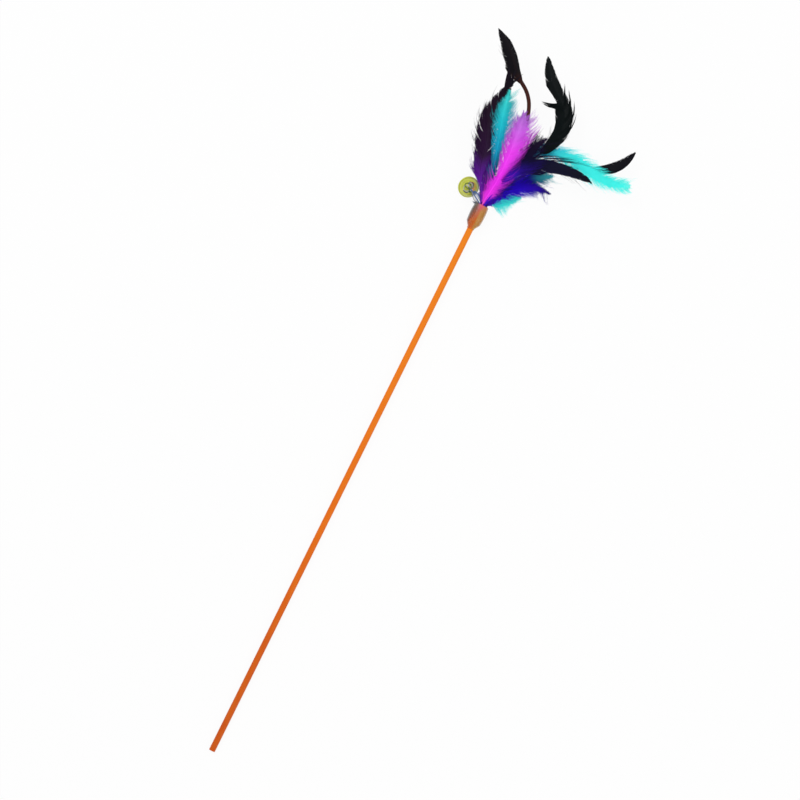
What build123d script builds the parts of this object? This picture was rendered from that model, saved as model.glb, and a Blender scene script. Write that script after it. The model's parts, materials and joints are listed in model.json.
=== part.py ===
from build123d import *
import os
from dataclasses import dataclass
from math import atan, cos, degrees, hypot, pi, radians, sin, sqrt

# Cat teaser wand: a plastic rod, a clear tip sleeve, dyed feathers and a jingle bell on a short tie.
# Built along X from the rod's butt with Z up and Y to the left, then laid down as it rests on a table.
# All sizes are in millimetres and all angles in degrees.

# Rod
rod_length = 457.2
rod_diameter = 4.8
rod_point_length = 15.0
rod_point_diameter = 2.6

# Tip sleeve
sleeve_length = 20.0
sleeve_overlap = 14.5
sleeve_neck_length = 1.2
sleeve_neck_wall = 0.5
sleeve_shoulder_length = 3.8
sleeve_belly_diameter = 12.0
sleeve_mouth_diameter = 11.0
sleeve_wall = 0.8
sleeve_lip_chamfer = 0.2

# Glue plug
glue_start_gap = 1.0
glue_below_mouth = 2.0
glue_meniscus = 0.5
glue_film = 0.55

# Quills and vanes, shared by all feathers
quill_diameter = 1.2
quill_root_gap = 0.4
quill_depth = 10.5
quill_tip_diameter = 0.5
vane_edge = 0.4
vane_tip_width = 1.0
camber_share = 0.1
station_count = 21
spine_steps = 84
bend_shares = (0, 0.12, 0.35, 0.55, 0.75, 1)

# Feather lengths from the sleeve's mouth, and vane widths
dark_left_length = 102.0
dark_left_width = 15.5
black_tall_length = 149.0
black_tall_width = 9.6
black_tall_stem_width = 3.0
cyan_upper_length = 93.5
cyan_upper_width = 15.5
magenta_length = 84.0
magenta_width = 16.0
violet_length = 44.0
violet_width = 9.0
plum_back_length = 73.0
plum_back_width = 14.0
dark_right_length = 99.5
dark_right_width = 12.0
cyan_right_length = 135.5
cyan_right_width = 14.5
black_curl_length = 141.5
black_curl_width = 13.8
black_right_length = 131.0
black_right_width = 8.5
black_right_stem_width = 1.8
indigo_length = 55.0
indigo_width = 13.0
teal_under_length = 60.0
teal_under_width = 11.0
cyan_low_length = 30.0
cyan_low_width = 14.0

# Bell
bell_diameter = 14.8
bell_wall = 0.4
bell_flange = 0.4
bell_hem_gap = 0.1
bell_reach = 14.6
bell_bearing = 60.4
bell_crown_rise = 68.0
bell_slot_width = 1.4
bell_slot_end_diameter = 2.6
bell_slot_polar = 60.0
bell_slot_count = 4
crown_groove_diameter = 9.6
crown_groove_depth = 0.15
crown_groove_round = 0.35
pellet_diameter = 4.4
pellet_gap = 0.15

# Bell staple
staple_wire_diameter = 0.9
staple_width = 4.6
staple_bar_height = 3.0
staple_bend_radius = 0.9
staple_inner_depth = 2.0
staple_clinch = 0.7
staple_hole_gap = 0.05

# Bell tie
tie_diameter = 0.9
tie_gap = 0.3
tie_bend_radius = 1.8
tie_lead = 0.6
tie_left_share = 0.75

# Derived sizes
rod_radius = rod_diameter / 2
point_start = rod_length - rod_point_length
quill_radius = quill_diameter / 2
sleeve_start = rod_length - sleeve_overlap
mouth_x = sleeve_start + sleeve_length
shoulder_end = sleeve_start + sleeve_neck_length + sleeve_shoulder_length
belly_x = (shoulder_end + mouth_x) / 2
belly_radius = sleeve_belly_diameter / 2
mouth_radius = sleeve_mouth_diameter / 2
mouth_bore_radius = mouth_radius - sleeve_wall
glue_top = mouth_x - glue_below_mouth
slot_reach = mouth_bore_radius - quill_radius - glue_film
lay_tilt = degrees(atan((belly_radius - rod_radius) / belly_x))
floor_z = -rod_radius * cos(radians(lay_tilt))
bell_radius = bell_diameter / 2
bell_inner_radius = bell_radius - bell_wall
bead_radius = bell_radius + bell_flange + bell_wall
bar_reach = bell_radius + staple_bar_height
wire_radius = staple_wire_diameter / 2
tie_radius = tie_diameter / 2
bell_along = Vector(cos(radians(bell_bearing)), sin(radians(bell_bearing)), 0)
bell_aside = Vector(-bell_along.Y, bell_along.X, 0)
crown_along = bell_along * -cos(radians(bell_crown_rise)) + Vector(0, 0, sin(radians(bell_crown_rise)))
tie_exit = Vector(mouth_x + tie_lead, tie_left_share * slot_reach, 0)
bell_plan = tie_exit + bell_along * bell_reach
bell_rise = (floor_z + bell_radius - bell_plan.X * sin(radians(lay_tilt))) / cos(radians(lay_tilt))
bell_centre = Vector(bell_plan.X, bell_plan.Y, bell_rise)
bar_centre = bell_centre + crown_along * bar_reach
tie_along = (bar_centre - tie_exit).normalized()
tie_aside = tie_along.cross(bell_aside)
tie_turn_radius = wire_radius + tie_gap + tie_radius
pellet_drop = bell_inner_radius - pellet_diameter / 2 - pellet_gap


@dataclass
class Feather:
    """One feather: its size, where its quill sits in the sleeve's mouth, and how its spine bends."""
    length: float
    width: float
    slot_shares: tuple
    headings: tuple
    rises: tuple
    bare_share: float
    peak_power: float = 1.25
    edge_power: float = 0.75
    stem_width: float = quill_diameter
    left_share: float = 0.5
    bends: tuple = bend_shares


# slot_shares are the quill's left and up places, as shares of the reach inside the sleeve's mouth.
# headings (to the left) and rises (upward) are the spine's angles at the shares of its length in bends.
# left_share is how much of the vane lies left of the rachis where the vane is full.
feathers = {
    "feather_magenta": Feather(
        magenta_length, magenta_width, slot_shares=(0, 0.866), bare_share=0.14, peak_power=1.7,
        headings=(0, -10, -1, 2, 8, 10), rises=(0, 32, 33, 31, 27, 20)),
    "feather_dark_left": Feather(
        dark_left_length, dark_left_width, slot_shares=(0.5, 0.866), bare_share=0.15, peak_power=0.95,
        headings=(0, 42, 10, 23, -7, -11), rises=(0, 17, 18, 17, 15, 11)),
    "feather_plum_back": Feather(
        plum_back_length, plum_back_width, slot_shares=(-0.5, 0.866), bare_share=0.25,
        headings=(0, -15, -14, -15, -21, -31), rises=(0, 25, 25, 23, 20, 14)),
    "feather_violet": Feather(
        violet_length, violet_width, slot_shares=(-0.25, 0.433), bare_share=0.25,
        headings=(0, 30, 20, 16, 16, 13), rises=(0, 12, 13, 13, 12, 10)),
    "feather_dark_right": Feather(
        dark_right_length, dark_right_width, slot_shares=(-0.75, 0.433), bare_share=0.22,
        headings=(0, -7, -29, -66, -82, -99), rises=(0, 19, 18, 15, 10, 4)),
    "feather_cyan_upper": Feather(
        cyan_upper_length, cyan_upper_width, slot_shares=(0, 0), bare_share=0.2, peak_power=1.8,
        headings=(0, 9, 15, 16, 19, 5), rises=(0, 25, 26, 24, 20, 14)),
    "feather_black_right": Feather(
        black_right_length, black_right_width, slot_shares=(-1, 0), bare_share=0.66, peak_power=1,
        stem_width=black_right_stem_width,
        headings=(0, -26, -38, -76, -70, 2), rises=(0, 3, 3, 3, 3, 3)),
    "feather_black_curl": Feather(
        black_curl_length, black_curl_width, slot_shares=(-0.5, 0), bare_share=0.38, peak_power=0.9,
        edge_power=0.6, headings=(0, -17, -32, -12, 56, 28), rises=(0, 11, 10, 9, 7, 5)),
    "feather_black_tall": Feather(
        black_tall_length, black_tall_width, slot_shares=(0.25, -0.433), bare_share=0.7, peak_power=0.9,
        edge_power=0.45, stem_width=black_tall_stem_width, left_share=0.72,
        bends=(0, 0.2, 0.42, 0.56, 0.68, 0.78, 1),
        headings=(0, -11, 4, 23, 60, 40, 62), rises=(0, 14, 13, 11, 9, 8, 5)),
    "feather_cyan_right": Feather(
        cyan_right_length, cyan_right_width, slot_shares=(-0.25, -0.433), bare_share=0.22, peak_power=1.4,
        edge_power=0.55, headings=(0, -22, -19, -85, -103, -66), rises=(0, 9, 9, 7, 4, 2)),
    "feather_indigo": Feather(
        indigo_length, indigo_width, slot_shares=(-0.75, -0.433), bare_share=0.2,
        headings=(0, -23, -47, -54, -67, -102), rises=(0, 3, 3, 2, 1, 0)),
    "feather_teal_under": Feather(
        teal_under_length, teal_under_width, slot_shares=(0, -0.866), bare_share=0.3,
        headings=(0, -34, -35, -41, -53, -61), rises=(0, 0, 0, -1, -2, -3)),
    "feather_cyan_low": Feather(
        cyan_low_length, cyan_low_width, slot_shares=(-0.5, -0.866), bare_share=0.2, peak_power=0.8,
        left_share=0.3, headings=(0, -43, -52, -58, -56, -54), rises=(0, -4, -5, -5, -5, -4)),
}


def angle_at(bends, angles, share):
    """Angle of a spine at a share of its length, in even bends between the listed angles."""
    for low, high, first, last in zip(bends, bends[1:], angles, angles[1:]):
        if share <= high:
            return first + (last - first) * (share - low) / (high - low)
    return angles[-1]


def direction_at(feather, share):
    """Unit direction of a spine at a share of its length."""
    heading = radians(angle_at(feather.bends, feather.headings, share))
    rise = radians(angle_at(feather.bends, feather.rises, share))
    return Vector(cos(rise) * cos(heading), cos(rise) * sin(heading), sin(rise))


def slot_place(shares):
    """Left and up place of a quill or tie leg in the sleeve's mouth."""
    return shares[0] * slot_reach, shares[1] * slot_reach


def root_x(left, up, radius):
    """How deep a quill or leg goes: beside the rod's point where there is room, else to near its tip."""
    beside_rod = hypot(left, up) - radius > rod_radius
    return mouth_x - quill_depth if beside_rod else rod_length + quill_root_gap


def spine_places(feather):
    """Spine points at the stations, from the sleeve's mouth to the feather's tip."""
    left, up = slot_place(feather.slot_shares)
    place = Vector(mouth_x, left, up)
    places = [place]
    step = feather.length / spine_steps
    for number in range(spine_steps):
        place = place + direction_at(feather, (number + 0.5) / spine_steps) * step
        places.append(place)
    return places[::spine_steps // station_count]


def vane_width(feather, share):
    """Vane width at a share of the spine's length."""
    near_share = max(0, 1 - share / feather.bare_share * 2)
    stem = feather.stem_width + (quill_diameter - feather.stem_width) * near_share
    if share <= feather.bare_share:
        return stem
    run = (share - feather.bare_share) / (1 - feather.bare_share)
    full = feather.width * max(0, sin(pi * run ** feather.peak_power)) ** feather.edge_power
    return max(full, stem * (1 - run), vane_tip_width)


def section_outline(left, right, middle, edge, droop_share, centre, across, up):
    """Six-sided blade section: thick at the rachis, thin at both edges, the edges drooping a little."""
    left_droop, right_droop = left * droop_share, right * droop_share
    corners = [
        (left, edge - left_droop),
        (0, middle),
        (-right, edge - right_droop),
        (-right, -edge - right_droop),
        (0, -middle),
        (left, -edge - left_droop),
    ]
    places = [centre + across * side + up * height for side, height in corners]
    return Wire.make_polygon(places, close=True)


def quill_outline(centre):
    """Quill section across the rod's axis."""
    across, up = Vector(0, 1, 0), Vector(0, 0, 1)
    edge = quill_radius / 2
    return section_outline(quill_radius, quill_radius, quill_radius, edge, 0, centre, across, up)


def make_feather(feather):
    """Quill and vane of one feather as a single blade solid."""
    left, up = slot_place(feather.slot_shares)
    outlines = [quill_outline(Vector(root_x(left, up, quill_radius), left, up))]
    for number, place in enumerate(spine_places(feather)):
        share = number / station_count
        width = vane_width(feather, share)
        fullness = max(0, width - quill_diameter) / (feather.width - quill_diameter)
        middle = quill_radius + (quill_tip_diameter / 2 - quill_radius) * share
        edge = min(middle, quill_radius / 2 + (vane_edge / 2 - quill_radius / 2) * min(1, fullness * 2))
        droop_share = camber_share * max(0, 1 - quill_diameter / width)
        left = width * (0.5 + (feather.left_share - 0.5) * min(1, fullness))
        along = direction_at(feather, share)
        across = Vector(0, 0, 1).cross(along).normalized()
        up = along.cross(across)
        outlines.append(section_outline(left, width - left, middle, edge, droop_share, place, across, up))
    return Solid.make_loft(outlines, ruled=True)


def make_quill_core(feather):
    """The part of a quill that sits in the glue, for cutting its hole."""
    left, up = slot_place(feather.slot_shares)
    start = root_x(left, up, quill_radius)
    return extrude(Face(quill_outline(Vector(start, left, up))), amount=mouth_x - start, dir=(1, 0, 0))


def turned(*edges):
    """Solid of revolution about the rod's axis from a closed outline in X and radius."""
    return revolve(make_face(Curve() + list(edges)), Axis.X)


def rod_radius_at(x):
    """Radius of the rod at a place along it: straight, then tapering to its blunt point."""
    taper_share = max(0, (x - point_start) / rod_point_length)
    return rod_radius + (rod_point_diameter / 2 - rod_radius) * taper_share


def make_rod():
    """Straight rod with a square-cut butt and a tapered point."""
    outline = Polyline(
        (0, 0),
        (0, rod_radius),
        (point_start, rod_radius),
        (rod_length, rod_point_diameter / 2),
        (rod_length, 0),
        close=True,
    )
    return turned(outline)


def sleeve_inside(end_x):
    """Edges of the sleeve's inner wall from its neck to a place below or at its mouth."""
    bore = mouth_bore_radius
    belly = belly_radius - sleeve_wall
    neck_end = sleeve_start + sleeve_neck_length
    neck_bore = rod_radius_at(neck_end)
    return [
        Line((sleeve_start, rod_radius_at(sleeve_start)), (neck_end, neck_bore)),
        Line((neck_end, neck_bore), (shoulder_end, bore)),
        ThreePointArc((shoulder_end, bore), (belly_x, belly), (end_x, bore)),
    ]


def make_sleeve():
    """Clear sleeve: tight neck, shoulder, slightly bellied body and an open mouth."""
    neck_radius = rod_radius + sleeve_neck_wall
    neck_end = sleeve_start + sleeve_neck_length
    outside = [
        Line((mouth_x, mouth_bore_radius), (mouth_x, mouth_radius)),
        ThreePointArc((mouth_x, mouth_radius), (belly_x, belly_radius), (shoulder_end, mouth_radius)),
        Line((shoulder_end, mouth_radius), (neck_end, neck_radius)),
        Line((neck_end, neck_radius), (sleeve_start, neck_radius)),
        Line((sleeve_start, neck_radius), (sleeve_start, rod_radius_at(sleeve_start))),
    ]
    body = turned(*sleeve_inside(mouth_x), *outside)
    lip = body.edges().filter_by(GeomType.CIRCLE).group_by(Axis.X)[-1]
    return chamfer(lip, sleeve_lip_chamfer)


def make_glue(rod, tie):
    """Plug that fills the sleeve round the rod's point, with holes for the quills and the tie's legs."""
    fill = turned(*sleeve_inside(mouth_x), Polyline(
        (mouth_x, mouth_bore_radius),
        (mouth_x, 0),
        (sleeve_start, 0),
        (sleeve_start, rod_radius_at(sleeve_start)),
    ))
    start = sleeve_start + sleeve_neck_length + glue_start_gap
    far = mouth_radius * 2
    limits = turned(
        Polyline((glue_top - glue_meniscus, 0), (start, 0), (start, far), (glue_top, far)),
        Line((glue_top, far), (glue_top, mouth_bore_radius)),
        Line((glue_top, mouth_bore_radius), (glue_top - glue_meniscus, 0)),
    )
    plug = fill & limits
    cutters = [rod, tie] + [make_quill_core(feather) for feather in feathers.values()]
    return (plug - cutters).solids().sort_by(SortBy.VOLUME)[-1]


def make_tie():
    """Short cord: out of the sleeve, over the staple's bar and back in, one leg above the other."""
    legs = []
    for side in (tie_aside, -tie_aside):
        turn_start = bar_centre + side * tie_turn_radius
        corner = tie_exit + Vector(0, 0, tie_turn_radius / side.Z)
        root = Vector(root_x(corner.Y, corner.Z, tie_radius), corner.Y, corner.Z)
        legs.append((root, corner, turn_start))
    first, second = legs
    turn = ThreePointArc(first[2], bar_centre + tie_along * tie_turn_radius, second[2])
    path = FilletPolyline(*first, radius=tie_bend_radius) + turn
    path = path + FilletPolyline(*reversed(second), radius=tie_bend_radius)
    return sweep(Plane(first[0], z_dir=(1, 0, 0)) * Circle(tie_radius), path=Wire(path.edges()))


def spun(*edges):
    """Solid of revolution about the bell's own axis from a closed outline in the XZ plane."""
    return revolve(make_face(Curve() + list(edges)), Axis.Z)


def shell_arc(radius, start_height, pole):
    """Arc of a cup's wall from a height near the rim to its pole, up for 1 and down for -1."""
    half = sqrt(0.5) * radius
    rim = (sqrt(radius ** 2 - start_height ** 2), 0, start_height)
    return ThreePointArc(rim, (half, 0, pole * half), (0, 0, pole * radius))


def make_crown():
    """Upper cup with a flat rim flange, a stamped ring and two holes for the staple's legs."""
    rim = bell_radius + bell_flange
    cup = spun(
        Polyline((bell_inner_radius, 0, 0), (rim, 0, 0), (rim, 0, bell_wall),
                 (sqrt(bell_radius ** 2 - bell_wall ** 2), 0, bell_wall)),
        shell_arc(bell_radius, bell_wall, 1),
        Line((0, 0, bell_radius), (0, 0, bell_inner_radius)),
        shell_arc(bell_inner_radius, 0, 1),
    )
    ring_radius = crown_groove_diameter / 2
    ring_share = (bell_radius + crown_groove_round - crown_groove_depth) / bell_radius
    ring_height = sqrt(bell_radius ** 2 - ring_radius ** 2) * ring_share
    groove = Pos(0, 0, ring_height) * Torus(ring_radius * ring_share, crown_groove_round)
    hole = Cylinder(wire_radius + staple_hole_gap, bell_radius)
    holes = [Pos(side * staple_width / 2, 0, bell_radius) * hole for side in (-1, 1)]
    return cup - groove - holes


def make_bowl():
    """Lower cup with crossed slots that end in round holes, and a hem rolled over the crown's flange."""
    rim = bell_radius + bell_flange
    hem = bell_radius + bell_hem_gap
    cup = spun(
        Polyline((bell_inner_radius, 0, 0), (rim, 0, 0), (rim, 0, bell_wall), (hem, 0, bell_wall),
                 (hem, 0, bell_wall * 2), (rim, 0, bell_wall * 2)),
        ThreePointArc((rim, 0, bell_wall * 2), (bead_radius, 0, bell_wall / 2), (rim, 0, -bell_wall)),
        Line((rim, 0, -bell_wall), (sqrt(bell_radius ** 2 - bell_wall ** 2), 0, -bell_wall)),
        shell_arc(bell_radius, -bell_wall, -1),
        Line((0, 0, -bell_radius), (0, 0, -bell_inner_radius)),
        shell_arc(bell_inner_radius, 0, -1),
    )
    slot_half = bell_radius * sin(radians(bell_slot_polar))
    slot_depth = bell_radius * (1 - cos(radians(bell_slot_polar)))
    arm = Pos(0, 0, -bell_radius) * Box(slot_half * 2, bell_slot_width, slot_depth * 2)
    end = Pos(0, 0, bell_radius) * Cylinder(bell_slot_end_diameter / 2, bell_radius / 2)
    turns = [number * 360 / bell_slot_count for number in range(bell_slot_count)]
    ends = [Rot(0, 0, turn) * Rot(0, 180 - bell_slot_polar, 0) * end for turn in turns]
    arms = [Rot(0, 0, turn) * arm for turn in turns[:bell_slot_count // 2]]
    return cup - arms - ends


def make_staple():
    """Wire staple: a straight bar, two legs through the crown and their ends bent apart inside."""
    half = staple_width / 2
    inside = bell_inner_radius - staple_inner_depth
    path = FilletPolyline(
        (-half - staple_clinch - staple_bend_radius, 0, inside),
        (-half, 0, inside),
        (-half, 0, bar_reach),
        (half, 0, bar_reach),
        (half, 0, inside),
        (half + staple_clinch + staple_bend_radius, 0, inside),
        radius=staple_bend_radius,
    )
    start = path @ 0
    return sweep(Plane(start, z_dir=(1, 0, 0)) * Circle(wire_radius), path=Wire(path.edges()))


def in_bell(shape):
    """Place a shape made in the bell's own frame: crown up, leaning to the sleeve, staple bar level."""
    return Plane(bell_centre, x_dir=bell_aside, z_dir=crown_along).location * shape


def build():
    """All pieces by node name, laid down as the wand rests."""
    rod = make_rod()
    tie = make_tie()
    pieces = {
        "wand_rod": rod,
        "tip_sleeve": make_sleeve(),
        "glue_plug": make_glue(rod, tie),
        "bell_tie": tie,
        "bell_crown": in_bell(make_crown()),
        "bell_bowl": in_bell(make_bowl()),
        "bell_staple": in_bell(make_staple()),
        "bell_pellet": Pos(bell_centre - Vector(0, 0, pellet_drop)) * Sphere(pellet_diameter / 2),
    }
    for name, feather in feathers.items():
        pieces[name] = make_feather(feather)
    return {name: Rot(0, -lay_tilt, 0) * piece for name, piece in pieces.items()}


os.makedirs("parts", exist_ok=True)
for node, solid in build().items():
    solid.label = node
    export_step(solid, f"parts/{node}.step")
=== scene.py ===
import json
import bpy
import numpy as np
from mathutils import Matrix, Vector


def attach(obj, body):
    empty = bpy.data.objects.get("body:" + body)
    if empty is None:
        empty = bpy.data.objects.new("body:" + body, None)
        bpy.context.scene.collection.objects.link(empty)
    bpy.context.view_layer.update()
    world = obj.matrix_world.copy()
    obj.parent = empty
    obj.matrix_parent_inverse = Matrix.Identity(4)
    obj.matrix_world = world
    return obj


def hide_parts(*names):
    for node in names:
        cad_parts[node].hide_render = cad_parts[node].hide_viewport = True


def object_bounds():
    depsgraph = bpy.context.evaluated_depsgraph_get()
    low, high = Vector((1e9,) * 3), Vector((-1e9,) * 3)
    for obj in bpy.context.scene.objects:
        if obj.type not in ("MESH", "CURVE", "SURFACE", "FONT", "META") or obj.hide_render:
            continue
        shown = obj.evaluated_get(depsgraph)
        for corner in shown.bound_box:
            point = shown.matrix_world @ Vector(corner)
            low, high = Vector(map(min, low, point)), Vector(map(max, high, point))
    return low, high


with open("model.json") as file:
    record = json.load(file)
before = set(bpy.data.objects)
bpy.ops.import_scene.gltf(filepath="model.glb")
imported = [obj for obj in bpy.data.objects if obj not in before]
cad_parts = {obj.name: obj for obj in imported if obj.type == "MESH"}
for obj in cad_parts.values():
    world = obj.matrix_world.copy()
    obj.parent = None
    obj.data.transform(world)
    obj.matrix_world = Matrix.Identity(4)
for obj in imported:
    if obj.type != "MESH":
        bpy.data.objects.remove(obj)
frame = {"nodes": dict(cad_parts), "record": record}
cad_low, cad_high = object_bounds()
scene = bpy.context.scene
scene.view_settings.view_transform = "Standard"
MM = 0.001

# sizes repeated from the part's source, in mm
ROD_LENGTH, ROD_RADIUS = 457.2, 2.4
BELLY_X, BELLY_RADIUS = 455.2, 6.0
MOUTH_X, SLOT_REACH = 462.7, 3.55
QUILL, QUILL_DEPTH, QUILL_GAP = 1.2, 10.5, 0.4
CAMBER = 0.1
TIE_LEAD, TIE_LEFT_SHARE = 0.6, 0.75
BELL_RADIUS, BAR_REACH = 7.4, 10.4
BELL_BEARING, CROWN_RISE = np.radians(60.4), np.radians(68.0)
SPINE_STEPS = 84
BENDS = (0, 0.12, 0.35, 0.55, 0.75, 1)

# the toy lies on its rod's butt and its sleeve's belly, so its axis rises from the table
LAY_TILT = np.arctan((BELLY_RADIUS - ROD_RADIUS) / BELLY_X)
TILT = np.array([
    [np.cos(LAY_TILT), 0, -np.sin(LAY_TILT)],
    [0, 1, 0],
    [np.sin(LAY_TILT), 0, np.cos(LAY_TILT)],
])


def linear(*rgb):
    """Scene-linear colour from 0-255 sRGB."""
    c = np.array(rgb, float) / 255
    c = np.where(c <= 0.04045, c / 12.92, ((c + 0.055) / 1.055) ** 2.4)
    return (*c, 1.0)


def tones(*stops):
    """Stops of a colour ramp, from places and 0-255 sRGB colours."""
    return [(place, linear(*rgb)) for place, rgb in stops]


# camera: straight above, as the photo was taken
PICTURE_RIGHT = Vector((0.4438, -0.8961, 0)).normalized()
PICTURE_UP = Vector((0.8961, 0.4438, 0)).normalized()
CAMERA_PLACE = (0.3025, -0.00985, 2.282)
LENS_MM, SENSOR_MM = 135, 36
NEAREST, FARTHEST = 0.1, 20
camera = bpy.data.objects.new("camera", bpy.data.cameras.new("camera"))
scene.collection.objects.link(camera)
camera.data.lens, camera.data.sensor_width = LENS_MM, SENSOR_MM
camera.data.clip_start, camera.data.clip_end = NEAREST, FARTHEST
facing = Matrix((PICTURE_RIGHT, PICTURE_UP, PICTURE_RIGHT.cross(PICTURE_UP))).transposed().to_4x4()
camera.matrix_world = Matrix.Translation(CAMERA_PLACE) @ facing
scene.camera = camera


# materials
class Nodes:
    """A material's node tree with short ways to add and link nodes."""

    def __init__(self, name):
        self.material = bpy.data.materials.new(name)
        self.material.use_nodes = True
        self.tree = self.material.node_tree
        self.shader = self.tree.nodes["Principled BSDF"]

    def add(self, kind, inputs=None, **settings):
        """A new node with its settings, and with constants or links for its inputs."""
        node = self.tree.nodes.new("ShaderNode" + kind)
        for key, value in settings.items():
            setattr(node, key, value)
        for key, value in (inputs or {}).items():
            self.feed(value, node.inputs[key])
        return node

    def feed(self, value, socket):
        """Give a socket a constant, or link another node's output to it."""
        if isinstance(value, (int, float, tuple)):
            socket.default_value = value
        else:
            self.tree.links.new(value, socket)

    def put(self, **values):
        """Constants or links for the shader's own sockets."""
        for key, value in values.items():
            self.feed(value, self.shader.inputs[key.replace("_", " ")])

    def math(self, operation, *values, clamp=False):
        return self.add("Math", dict(enumerate(values)), operation=operation, use_clamp=clamp).outputs[0]

    def ramp(self, factor, stops):
        """A ramp through stops of a place and a colour, or a place and a number."""
        node = self.add("ValToRGB", dict(Fac=factor))
        while len(node.color_ramp.elements) < len(stops):
            node.color_ramp.elements.new(0.5)
        for element, (place, colour) in zip(node.color_ramp.elements, stops):
            element.position = place
            element.color = colour if isinstance(colour, tuple) else (colour, colour, colour, 1)
        return node.outputs["Color"]

    def mix(self, factor, first, second, blend="MIX"):
        colour_inputs = {0: factor, 6: first, 7: second}
        return self.add("Mix", colour_inputs, data_type="RGBA", blend_type=blend).outputs[2]

    def tint(self, base, pattern, span, strength, rgb):
        """Base with so much of a colour where the pattern is high in its span."""
        start, full = span
        amount = self.math("MULTIPLY", self.ramp(pattern, [(start, 0.0), (full, 1.0)]), strength)
        return self.mix(amount, base, linear(*rgb))

    def rise(self, metres, start, run):
        """0 up to start, then even to 1 over the run, both in mm."""
        return self.math("DIVIDE", self.math("SUBTRACT", metres, start * MM), run * MM, clamp=True)

    def noise(self, vector, scale, detail, rough=0.5):
        """Noise that is scaled by three numbers."""
        scaled = self.add("Mapping", dict(Vector=vector, Scale=scale)).outputs["Vector"]
        inputs = dict(Vector=scaled, Scale=1.0, Detail=detail, Roughness=rough)
        return self.add("TexNoise", inputs).outputs["Fac"]

    def place(self):
        """Places on the object, in metres."""
        return self.add("TexCoord").outputs["Object"]

    def barb_uv(self):
        """Share of the strand's root along its spine, and how far out on its side."""
        return self.add("UVMap", uv_map="barb").outputs["UV"]

    def parts(self, vector):
        """A vector's X, Y and Z."""
        return self.add("SeparateXYZ", {0: vector}).outputs

    def surface(self, colour, pattern, rough):
        """The base colour, and a roughness that follows a pattern through stops."""
        self.put(Base_Color=colour, Roughness=self.ramp(pattern, rough))

    def bump(self, height, strength, distance):
        node = self.add("Bump", dict(Height=height, Strength=strength, Distance=distance))
        self.put(Normal=node.outputs["Normal"])


def dress(node, material):
    """Give a CAD node's object one material."""
    mesh = frame["nodes"][node].data
    mesh.materials.clear()
    mesh.materials.append(material)


# where the dyes tint the sleeve and the glue: start and run along X, in mm
DYED, RIM = (MOUTH_X - 14, 9), (MOUTH_X - 5, 4)


def orange_rod():
    """Dyed extruded plastic, deeper orange at the butt, with fine draw lines along it."""
    m = Nodes("orange_rod")
    place = m.place()
    share = m.math("DIVIDE", m.parts(place)["X"], ROD_LENGTH * MM)
    base = m.ramp(share, tones(
        (0, (198, 80, 6)), (0.2, (208, 88, 4)), (0.42, (228, 108, 2)),
        (0.8, (238, 126, 8)), (1, (238, 132, 14))))
    lines = m.noise(place, (30, 2600, 2600), 3)
    cloud = m.noise(place, (60, 300, 300), 2)
    base = m.tint(base, lines, (0.35, 0.7), 0.22, (208, 94, 8))
    base = m.tint(base, cloud, (0.4, 0.75), 0.14, (250, 148, 30))
    m.surface(base, lines, [(0.2, 0.3), (0.8, 0.46)])
    m.put(Specular_IOR_Level=0.16)
    m.bump(lines, 0.12, 0.0002)
    return m.material


def clear_amber_sleeve():
    """Clear amber plastic, tinted by the dyes at its mouth, orange where the rod lies in it, with painted
    shade: lighter on its right, greyer and darker on its left.
    """
    m = Nodes("clear_amber_sleeve")
    place = m.place()
    parts = m.parts(place)
    across = m.math("ADD", m.math("DIVIDE", parts["Y"], 2 * BELLY_RADIUS * MM), 0.5)
    # across the sleeve, painted shade of light from its right: lighter amber at the right, greyer and darker
    # towards the left
    lower = m.ramp(across, tones(
        (0, (196, 134, 46)), (0.36, (216, 154, 66)), (0.48, (230, 106, 10)),
        (0.76, (208, 84, 14)), (0.92, (112, 56, 46)), (1, (84, 58, 58))))
    upper = m.ramp(across, tones(
        (0, (196, 134, 46)), (0.36, (216, 154, 72)), (0.5, (224, 120, 96)),
        (0.72, (146, 80, 76)), (1, (50, 88, 90))))
    rim = m.ramp(across, tones(
        (0, (196, 134, 46)), (0.3, (230, 136, 100)), (0.42, (255, 96, 132)),
        (0.58, (240, 100, 120)), (0.76, (130, 112, 106)), (1, (60, 104, 104))))
    tone = m.mix(m.rise(parts["X"], *DYED), lower, upper)
    tone = m.mix(m.rise(parts["X"], *RIM), tone, rim)
    cloud = m.noise(place, (160, 320, 320), 4)
    tone = m.tint(tone, cloud, (0.35, 0.7), 0.2, (214, 160, 92))
    m.surface(tone, cloud, [(0.3, 0.16), (0.75, 0.34)])
    m.put(Alpha=0.56, Specular_IOR_Level=0.3, Coat_Weight=0.12)
    m.bump(cloud, 0.15, 0.0004)
    return m.material


def cloudy_glue():
    """Cloudy hot melt, stained by the dye at the sleeve's mouth."""
    m = Nodes("cloudy_glue")
    place = m.place()
    cloud = m.noise(place, (240, 420, 420), 4)
    stain = m.math("MULTIPLY", m.rise(m.parts(place)["X"], *RIM), 0.85)
    tone = m.ramp(cloud, tones((0.3, (178, 106, 36)), (0.5, (194, 124, 50)), (0.75, (210, 150, 80))))
    m.surface(m.mix(stain, tone, linear(255, 92, 160)), cloud, [(0.3, 0.3), (0.7, 0.5)])
    m.put(Alpha=0.34)
    m.bump(cloud, 0.2, 0.0005)
    return m.material


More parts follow.
